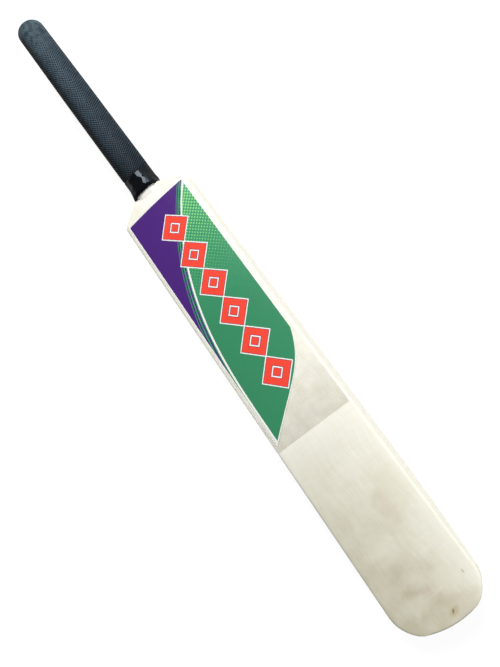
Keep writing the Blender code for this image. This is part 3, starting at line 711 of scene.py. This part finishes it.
def rubber(name, worn_and_lit, new, roughness):
    """Moulded rubber with its wear, painted light and painted shade, its dust, a faint mottle and a fine
    tooth from the mould.
    """
    material, output = new_material(name)
    tree = material.node_tree
    place = node(tree, "TexCoord").outputs["Object"]
    axes = node(tree, "SeparateXYZ", {0: place})
    # Greyer towards the end: partly wear, partly painted light for the window beyond the end.
    wear_and_light = node(tree, "MapRange", {
        "Value": axes.outputs["Y"], "From Min": shoulder_y + GRIP_LOW, "From Max": shoulder_y + GRIP_END,
        "To Min": NECK_WEAR_AND_LIGHT, "To Max": END_WEAR_AND_LIGHT})
    # Painted shade near the tape, on the neck beside the blade.
    shade_by_tape = node(tree, "MapRange", {
        "Value": axes.outputs["Y"], "From Min": shoulder_y + NEAR_TAPE,
        "From Max": shoulder_y + CLEAR_OF_TAPE, "To Min": TAPE_SHADE_LEAST})
    # Painted shade on the left side, away from the light.
    from_left = node(tree, "MapRange", {
        "Value": axes.outputs["X"], "From Min": LEFT_SHADED, "From Max": LEFT_WORN_AND_LIT, "To Min": LEFT_LEAST},
        interpolation_type="SMOOTHSTEP")
    # The painted light and the wear fade a little towards the far right.
    from_right = node(tree, "MapRange", {
        "Value": axes.outputs["X"], "From Min": RIGHT_DARK, "From Max": RIGHT_WORN_AND_LIT, "To Min": RIGHT_LEAST},
        interpolation_type="SMOOTHSTEP")
    mottle = node(tree, "TexNoise", {
        "Vector": place, "Scale": 1 / MOTTLE, "Detail": 5.0, "Roughness": 0.65})
    patchy = node(tree, "MapRange", {
        "Value": mottle, "From Min": MOTTLE_LOW, "From Max": MOTTLE_HIGH,
        "To Min": MOTTLE_LEAST, "To Max": MOTTLE_MOST})
    for share in (shade_by_tape, from_left, from_right, patchy):
        wear_and_light = node(tree, "Math", {0: wear_and_light, 1: share}, operation="MULTIPLY", use_clamp=True)
    colour = node(tree, "Mix", {"Factor": wear_and_light, "A": linear(new), "B": linear(worn_and_lit)}, data_type="RGBA")
    blotch = node(tree, "TexNoise", {
        "Vector": place, "Scale": 1 / DUST_BLOTCH, "Detail": 4.0, "Roughness": 0.6})
    thick = node(tree, "MapRange", {"Value": blotch, "From Min": DUST_BARE, "From Max": DUST_DENSE})
    dust = node(tree, "Mix", {"Factor": thick, "A": linear(DUST_THIN), "B": linear(DUST_THICK)},
                data_type="RGBA")
    dusty = node(tree, "MapRange", {
        "Value": axes.outputs["Y"], "From Min": shoulder_y + GRIP_END - DUST_RUN,
        "From Max": shoulder_y + GRIP_END - SMOOTH_LIP}, interpolation_type="SMOOTHSTEP")
    # The dust thins with the painted shade on the left side.
    dusty = node(tree, "Math", {0: dusty, 1: from_left}, operation="MULTIPLY")
    colour = node(tree, "Mix", {"Factor": dusty, "A": colour, "B": dust}, data_type="RGBA")
    tooth = node(tree, "TexNoise", {"Vector": place, "Scale": 1 / MOULD_TOOTH, "Detail": 2.0})
    relief = node(tree, "Bump", {"Height": tooth, "Strength": 0.25, "Distance": 0.04 * MM})
    rough = node(tree, "MapRange", {
        "Value": mottle, "To Min": roughness - UNEVEN_GLOSS, "To Max": roughness + UNEVEN_GLOSS})
    surface = node(tree, "BsdfPrincipled", {
        "Base Color": colour, "Roughness": rough, "IOR": 1.52, "Specular IOR Level": 0.06, "Normal": relief})
    tree.links.new(surface.outputs[0], output.inputs["Surface"])
    return material


ridge_rubber = rubber("moulded_rubber_ridges", RIDGE_WORN_AND_LIT, RIDGE_NEW_AND_SHADED, RIDGE_ROUGHNESS)
grip = link_piece("rubber_sleeve", grip_mesh, ridge_rubber)
grip.data.materials.append(rubber("moulded_rubber_pits", PIT_WORN_AND_LIT, PIT_NEW_AND_SHADED, PIT_ROUGHNESS))
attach(grip, "root")
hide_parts("rubber_grip")


# Neck tape
# Glossy black PVC tape, 19 mm wide and stretched as it was wound, in two or three turns over the root
# and the lower end of the grip. It has creased, and its turns don't lie quite on each other.

TAPE_COLUMNS, TAPE_ROWS, TAPE_INNER_ROWS = 176, 54, 3
TAPE_THICKNESS, TAPE_GIRTH = 0.42 * MM, 1.2
LEDGE = 0.01 * MM
LOW_LEDGE, LOW_SLANT, LOW_RUN = 3.2 * MM, 0.10, 1.6 * MM
HIGH_LEDGE, HIGH_SLANT, HIGH_RUN = 14.2 * MM, 0.08, 1.2 * MM
EDGE_WAVE, EDGE_WAVES = 0.25 * MM, 6
WAVE, WAVE_WIDTH, WAVE_LENGTH = 0.02 * MM, 6 * MM, 8 * MM

# The foot flares on the left, has settled on the wood at the front, and a little at the far right.
FOOT_FLARE, FOOT_RUN = 0.30 * MM, 3.6 * MM
FOOT_GAP, TUCK, LIP = 0.15 * MM, 0.35 * MM, 0.3 * MM
FOOT_SETTLED, FOOT_DOWN = 0.70, 2.4 * MM
RIGHT_SETTLED, RIGHT_DOWN, RIGHT_REACH = 0.36, 3.5 * MM, 0.25

# Above the foot it lies over the grip's end. At the front it spans that step in one long slope.
ON_GRIP_FROM, OFF_GRIP, BRIDGE_LOW = 0.6 * GRIP_LOW, 0.08 * MM, 0.2

# A crease slants down the front to the left, and a short spur leaves it to the right.
CREASE, CREASE_STEEP, CREASE_GENTLE = 0.52 * MM, 4.2 * MM, 4.5 * MM
CREASE_AT, CREASE_SIDE, FOLD_SLANT = 6.0 * MM, 0.2 * MM, 0.45
CREASE_TOP, CREASE_RUN = 12 * MM, 10 * MM
SPUR, SPUR_HALF, SPUR_REACH = 0.25 * MM, 1.6 * MM, 4.6 * MM
SPUR_AT, SPUR_SIDE, SPUR_MIDDLE = 5.6 * MM, 7.5 * MM, 8.5 * MM


def ridge(distance, half_width):
    """A smooth fold: 1 on its line and 0 at its half width."""
    return eased(1 - abs(distance) / half_width)


def tape_folds(turn, height):
    """How far the tape stands proud: ledges of the turns beneath, its foot, its folds and slow waves."""
    around = (turn - 0.5) * math.tau * HANDLE_RADIUS * TAPE_GIRTH
    ledges = eased((height - LOW_LEDGE - LOW_SLANT * around) / LOW_RUN)
    ledges += eased((HIGH_LEDGE + HIGH_SLANT * around - height) / HIGH_RUN)
    flare = eased(1 - height / FOOT_RUN) * (0.5 - 0.5 * math.sin(math.tau * turn))
    off_crease = around + CREASE_SIDE + FOLD_SLANT * (height - CREASE_AT)
    half_width = CREASE_STEEP if off_crease < 0 else CREASE_GENTLE
    crease = ridge(off_crease, half_width) * eased((CREASE_TOP - height) / CREASE_RUN)
    off_spur = height - SPUR_AT + FOLD_SLANT * (around + SPUR_SIDE)
    spur = ridge(off_spur, SPUR_HALF) * ridge(around + SPUR_MIDDLE, SPUR_REACH)
    waves = noise.noise(Vector((around / WAVE_WIDTH, height / WAVE_LENGTH, 3.0)))
    return LEDGE * ledges + FOOT_FLARE * flare + CREASE * crease + SPUR * spur + WAVE * waves


# Each row of the tape is (share of its height, face): tucked in at the foot, outer or inner.
tape_rows = [(0.0, "tucked")]
tape_rows += [(i / TAPE_ROWS, "outer") for i in range(TAPE_ROWS + 1)]
tape_rows += [(1 - i / TAPE_INNER_ROWS, "inner") for i in range(TAPE_INNER_ROWS + 1)]
tape_rows.append((0.0, "tucked"))


def tape_place(turn, row):
    """A point of the tape, on one of its rows."""
    share, face = tape_rows[round(row)]
    to_right, to_front = math.sin(math.tau * turn), -math.cos(math.tau * turn)
    edge_wave = EDGE_WAVE * noise.noise(Vector((-EDGE_WAVES * to_front, EDGE_WAVES * to_right, 2)))
    low = FOOT_GAP + (LIP if face == "inner" else 0)
    height = low + (tape_top(turn) + edge_wave - low) * share
    on_grip = eased((height - ON_GRIP_FROM) / (GRIP_LOW - ON_GRIP_FROM))
    front = max(0.0, to_front)
    bridging = 1 - (1 - BRIDGE_LOW) * max(0.0, 1 - height / CREASE_TOP) ** 2
    on_grip += (bridging - on_grip) * front
    under = GRIP_BORE + (GRIP_SQUEEZED + OFF_GRIP) * on_grip
    far_right = eased(1 - (1 - to_right) / RIGHT_REACH)
    settled = 1 - FOOT_SETTLED * front * eased(1 - height / FOOT_DOWN)
    settled -= RIGHT_SETTLED * far_right * eased((GRIP_LOW - height) / RIGHT_DOWN)
    settled = max(1 - FOOT_SETTLED, settled)
    if face == "tucked":
        return on_handle(turn, height, TUCK)
    if face == "inner":
        return on_handle(turn, height, under * settled)
    return on_handle(turn, height, (under + TAPE_THICKNESS + tape_folds(turn, height)) * settled)


tape_mesh = flat_sheet(TAPE_COLUMNS, len(tape_rows) - 1)
roll_up(tape_mesh, tape_place)

# Plasticised PVC: nearly black and very smooth, with a little dust. It mirrors the white window in each
# fold, and a blue tint is painted into that reflection. Its sides have been rubbed dull.
TAPE_BLACK, TAPE_DUSTY, PAINTED_REFLECTION_TINT = "07080A", "0E1013", "D3E2F2"
DUST_CLOUD, DUST_LOW, DUST_HIGH = 4 * MM, 0.35, 0.70
GLOSS_CLEAN, GLOSS_DUSTY = 0.05, 0.12
RUBBED_FROM, RUBBED_FULL, RUBBED_DULL = 5.0 * MM, 9.0 * MM, 0.60

pvc_tape, tape_output = new_material("calendered_pvc_tape")
tree = pvc_tape.node_tree
place = node(tree, "TexCoord").outputs["Object"]
dust = node(tree, "TexNoise", {"Vector": place, "Scale": 1 / DUST_CLOUD, "Detail": 5.0, "Roughness": 0.65})
black = node(tree, "Mix", {"Factor": dust, "A": linear(TAPE_BLACK), "B": linear(TAPE_DUSTY)},
             data_type="RGBA")
gloss = node(tree, "MapRange", {
    "Value": dust, "From Min": DUST_LOW, "From Max": DUST_HIGH,
    "To Min": GLOSS_CLEAN, "To Max": GLOSS_DUSTY})
axes = node(tree, "SeparateXYZ", {0: place})
to_side = node(tree, "Math", {0: axes.outputs["X"]}, operation="ABSOLUTE")
rubbed = node(tree, "MapRange", {
    "Value": to_side, "From Min": RUBBED_FROM, "From Max": RUBBED_FULL, "To Max": RUBBED_DULL},
    interpolation_type="SMOOTHSTEP")
gloss = node(tree, "Math", {0: gloss, 1: rubbed}, operation="ADD")
relief = node(tree, "Bump", {"Height": dust, "Strength": 0.08, "Distance": 0.1 * MM})
# Painted reflection colour: the specular tint turns the white window's reflection a little blue.
pvc = node(tree, "BsdfPrincipled", {
    "Base Color": black, "Roughness": gloss, "IOR": 1.53, "Specular IOR Level": 0.16,
    "Specular Tint": linear(PAINTED_REFLECTION_TINT), "Normal": relief})
tree.links.new(pvc.outputs[0], tape_output.inputs["Surface"])

tape = link_piece("wound_tape", tape_mesh, pvc_tape)
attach(tape, "root")
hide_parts("neck_tape")


# Printed film
# A sheet of clear self-adhesive film, stuck across the upper half of the face. Most of it is printed
# on its back in opaque inks: green and purple grounds, a fading dot screen and a chain of lozenges.

FILM_LOW, FILM_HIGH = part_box("face_film")[0].y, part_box("face_film")[1].y
FILM_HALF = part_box("face_film")[1].x
FILM_THICKNESS, ADHESIVE = 0.25 * MM, 0.05 * MM
FILM_COLUMNS, FILM_ROWS, FILM_EDGE_TURN = 28, 60, 40

film_mesh = bmesh.new()
bmesh.ops.create_grid(film_mesh, x_segments=FILM_COLUMNS, y_segments=FILM_ROWS, size=0.5)
middle_y, film_length = (FILM_LOW + FILM_HIGH) / 2, FILM_HIGH - FILM_LOW
for vert in film_mesh.verts:
    x, y = vert.co.x * 2 * FILM_HALF, middle_y + vert.co.y * film_length
    crown = FACE_CROWN * (1 - (x / BLADE_HALF) ** 2)
    vert.co = Vector((x, y, FACE_Z + crown + ADHESIVE))
bmesh.ops.solidify(film_mesh, geom=film_mesh.faces[:], thickness=-FILM_THICKNESS)
bmesh.ops.recalc_face_normals(film_mesh, faces=film_mesh.faces)

PRINT_GREEN, PRINT_GREEN_TOP, PRINT_DOT = "388D63", "3FA06C", "90DA88"
PRINT_PURPLE, PRINT_RED, PRINT_SHADE, PRINT_WHITE = "4C237B", "F94A38", "5A2C63", "FAFBF6"
CLEAR_FILM = "92896A"

printed_film, film_output = new_material("printed_clear_film")
tree = printed_film.node_tree
place = node(tree, "SeparateXYZ", {0: node(tree, "TexCoord").outputs["Object"]})
across = node(tree, "Math", {0: place.outputs["X"], 1: 1 / MM}, operation="MULTIPLY")
station = node(tree, "Math", {0: place.outputs["Y"], 1: 1 / MM, 2: -TOE_Y / MM}, operation="MULTIPLY_ADD")

# The print is set out in millimetres: across the bat, and station from the toe.
PRINT_LEFT, PRINT_RIGHT, PRINT_TOP = -27.0, 27.0, 330.2
TIP_STATION, FOOT_SLOPE, FOOT_TURN, FOOT_POWER = 138.0, 0.78, 15.0, 8.0
BORDER = 0.7
GREEN_LOW, GREEN_HIGH = 228.0, 328.0

from_left = node(tree, "Math", {0: across, 1: PRINT_LEFT}, operation="SUBTRACT")
from_right = node(tree, "Math", {0: PRINT_RIGHT, 1: across}, operation="SUBTRACT")
from_top = node(tree, "Math", {0: PRINT_TOP, 1: station}, operation="SUBTRACT")
share_across = node(tree, "Math", {0: from_left, 1: PRINT_RIGHT - PRINT_LEFT}, operation="DIVIDE")
upturn = node(tree, "Math", {0: share_across, 1: 0.0}, operation="MAXIMUM")
upturn = node(tree, "Math", {0: upturn, 1: FOOT_POWER}, operation="POWER")
foot = node(tree, "Math", {0: from_left, 1: FOOT_SLOPE, 2: TIP_STATION}, operation="MULTIPLY_ADD")
foot = node(tree, "Math", {0: upturn, 1: FOOT_TURN, 2: foot}, operation="MULTIPLY_ADD")
above_foot = node(tree, "Math", {0: station, 1: foot}, operation="SUBTRACT")
above_foot = node(tree, "Math", {0: above_foot, 1: math.cos(math.atan(FOOT_SLOPE))}, operation="MULTIPLY")
inside = node(tree, "Math", {0: from_left, 1: from_right}, operation="MINIMUM")
inside = node(tree, "Math", {0: inside, 1: from_top}, operation="MINIMUM")
inside = node(tree, "Math", {0: inside, 1: above_foot}, operation="MINIMUM")
printed = node(tree, "Math", {0: inside, 1: 0.0}, operation="GREATER_THAN")
border = node(tree, "Math", {0: inside, 1: BORDER}, operation="LESS_THAN")

# The purple ground is cut off from the green one by a single long sweep with three thin stripes, each
# (offset, width, ink). The sweep slants, so across the bat a stripe measures 1.4 times its width.
SWEEP_FOOT, SWEEP_BEND, SLANT = 158.0, 2.7, 1.4
STRIPES = ((1.6, 1.0, PRINT_WHITE), (-1.6, 0.7, PRINT_GREEN_TOP), (-3.6, 0.5, PRINT_GREEN))
rise = node(tree, "Math", {0: station, 1: SWEEP_FOOT}, operation="SUBTRACT")
rise = node(tree, "Math", {0: rise, 1: PRINT_TOP - SWEEP_FOOT}, operation="DIVIDE")
rise = node(tree, "Math", {0: rise, 1: 0.0}, operation="MAXIMUM")
rise = node(tree, "Math", {0: rise, 1: SWEEP_BEND}, operation="POWER")
sweep = node(tree, "Math", {0: rise, 1: PRINT_RIGHT - PRINT_LEFT, 2: PRINT_LEFT}, operation="MULTIPLY_ADD")
from_sweep = node(tree, "Math", {0: across, 1: sweep}, operation="SUBTRACT")
purple_side = node(tree, "Math", {0: from_sweep, 1: 0.0}, operation="LESS_THAN")

height_share = node(tree, "MapRange", {"Value": station, "From Min": GREEN_LOW, "From Max": GREEN_HIGH})
green = node(tree, "Mix", {"Factor": height_share, "A": linear(PRINT_GREEN), "B": linear(PRINT_GREEN_TOP)},
             data_type="RGBA")

# A dot screen turned by 45 degrees, whose dots shrink to nothing towards the toe.
DOT_SPACING, DOTS_GONE, DOTS_FULL, DOT_LARGEST, SCREEN_TURN = 2.15, 236.0, 326.0, 0.40, 45
screen = node(tree, "CombineXYZ", {0: across, 1: station})
screen = node(tree, "Mapping", {
    "Vector": screen, "Rotation": (0, 0, math.radians(SCREEN_TURN)),
    "Scale": (1 / DOT_SPACING, 1 / DOT_SPACING, 1)})
cell = node(tree, "VectorMath", {0: screen}, operation="FRACTION")
cell = node(tree, "VectorMath", {0: cell, 1: (0.5, 0.5, 0.0)}, operation="SUBTRACT")
from_dot = node(tree, "VectorMath", {0: cell}, operation="LENGTH").outputs["Value"]
dot_radius = node(tree, "MapRange", {
    "Value": station, "From Min": DOTS_GONE, "From Max": DOTS_FULL, "To Max": DOT_LARGEST})
dots = node(tree, "Math", {0: from_dot, 1: dot_radius}, operation="LESS_THAN")
ground = node(tree, "Mix", {"Factor": dots, "A": green, "B": linear(PRINT_DOT)}, data_type="RGBA")
ground = node(tree, "Mix", {"Factor": purple_side, "A": ground, "B": linear(PRINT_PURPLE)}, data_type="RGBA")
for offset, width, ink in STRIPES:
    off_line = node(tree, "Math", {0: from_sweep, 1: offset}, operation="SUBTRACT")
    on_line = node(tree, "Math", {0: off_line, 1: 0.0, 2: width / 2 * SLANT}, operation="COMPARE")
    ground = node(tree, "Mix", {"Factor": on_line, "A": ground, "B": linear(ink)}, data_type="RGBA")

# Six hollow lozenges in a chain, each with a small solid one inside, outlined in white.
LOZENGES, FIRST_LOZENGE, LOZENGE_PITCH = 6, 176.0, 25.5
LOZENGE_HALF, LOZENGE_LINE, LOZENGE_CORE = 11.8, 4.4, 2.4
CHAIN_X = 2.0
HAIRLINE, OUTLINE = 0.35, 1.05
step = node(tree, "Math", {0: station, 1: FIRST_LOZENGE}, operation="SUBTRACT")
step = node(tree, "Math", {0: step, 1: LOZENGE_PITCH}, operation="DIVIDE")
step = node(tree, "Math", {0: step}, operation="ROUND")
step = node(tree, "Clamp", {"Value": step, "Min": 0.0, "Max": LOZENGES - 1.0})
lozenge_middle = node(tree, "Math", {0: step, 1: LOZENGE_PITCH, 2: FIRST_LOZENGE}, operation="MULTIPLY_ADD")
off_along = node(tree, "Math", {0: station, 1: lozenge_middle}, operation="SUBTRACT")
off_along = node(tree, "Math", {0: off_along}, operation="ABSOLUTE")
off_across = node(tree, "Math", {0: across, 1: CHAIN_X}, operation="SUBTRACT")
off_across = node(tree, "Math", {0: off_across}, operation="ABSOLUTE")
spread = node(tree, "Math", {0: off_along, 1: off_across}, operation="ADD")
rim = node(tree, "Math", {0: spread, 1: LOZENGE_HALF - LOZENGE_LINE * math.sqrt(0.5)}, operation="SUBTRACT")
rim = node(tree, "Math", {0: rim}, operation="ABSOLUTE")
rim = node(tree, "Math", {0: rim, 1: math.sqrt(0.5)}, operation="MULTIPLY")
rim = node(tree, "Math", {0: rim, 1: LOZENGE_LINE / 2}, operation="SUBTRACT")
core = node(tree, "Math", {0: spread, 1: math.sqrt(0.5), 2: -LOZENGE_CORE}, operation="MULTIPLY_ADD")
motif = node(tree, "Math", {0: rim, 1: core}, operation="MINIMUM")
for reach, ink in ((OUTLINE, PRINT_WHITE), (HAIRLINE, PRINT_SHADE), (0.0, PRINT_RED)):
    within = node(tree, "Math", {0: motif, 1: reach}, operation="LESS_THAN")
    ground = node(tree, "Mix", {"Factor": within, "A": ground, "B": linear(ink)}, data_type="RGBA")
ground = node(tree, "Mix", {"Factor": border, "A": ground, "B": linear(PRINT_WHITE)}, data_type="RGBA")
ink_or_clear = node(tree, "Mix", {"Factor": printed, "A": linear(CLEAR_FILM), "B": ground}, data_type="RGBA")

# Bare film lets nearly all light through; a little haze and the cut edge are all that shows of it.
FOOT_STATION = (FILM_LOW - TOE_Y) / MM
EDGE_HAZE, EDGE_HAZE_RUN = 0.082, 40.0
SCUFF, SCUFF_LOW, SCUFF_HIGH, SCUFF_HAZE = 9 * MM, 0.3, 0.7, 0.035
FILM_SMOOTHEST, FILM_ROUGHEST = 0.22, 0.34

scuffs = node(tree, "TexNoise", {
    "Vector": node(tree, "TexCoord").outputs["Object"], "Scale": 1 / SCUFF, "Detail": 4.0})
haze = node(tree, "MapRange", {
    "Value": scuffs, "From Min": SCUFF_LOW, "From Max": SCUFF_HIGH, "To Max": SCUFF_HAZE})
edge_haze = node(tree, "MapRange", {
    "Value": station, "From Min": FOOT_STATION + EDGE_HAZE_RUN, "From Max": FOOT_STATION,
    "To Max": EDGE_HAZE})
haze = node(tree, "Math", {0: haze, 1: edge_haze}, operation="ADD")
opacity = node(tree, "Math", {0: haze, 1: printed}, operation="MAXIMUM")
film_gloss = node(tree, "MapRange", {"Value": scuffs, "To Min": FILM_SMOOTHEST, "To Max": FILM_ROUGHEST})
ripple = node(tree, "Bump", {"Height": scuffs, "Strength": 0.15, "Distance": 0.2 * MM})
film_surface = node(tree, "BsdfPrincipled", {
    "Base Color": ink_or_clear, "Roughness": film_gloss, "IOR": 1.50, "Specular IOR Level": 0.4,
    "Alpha": opacity, "Normal": ripple})
tree.links.new(film_surface.outputs[0], film_output.inputs["Surface"])

film = link_piece("printed_film_sheet", film_mesh, printed_film)
film.data.set_sharp_from_angle(angle=math.radians(FILM_EDGE_TURN))
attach(film, "root")
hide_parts("face_film")
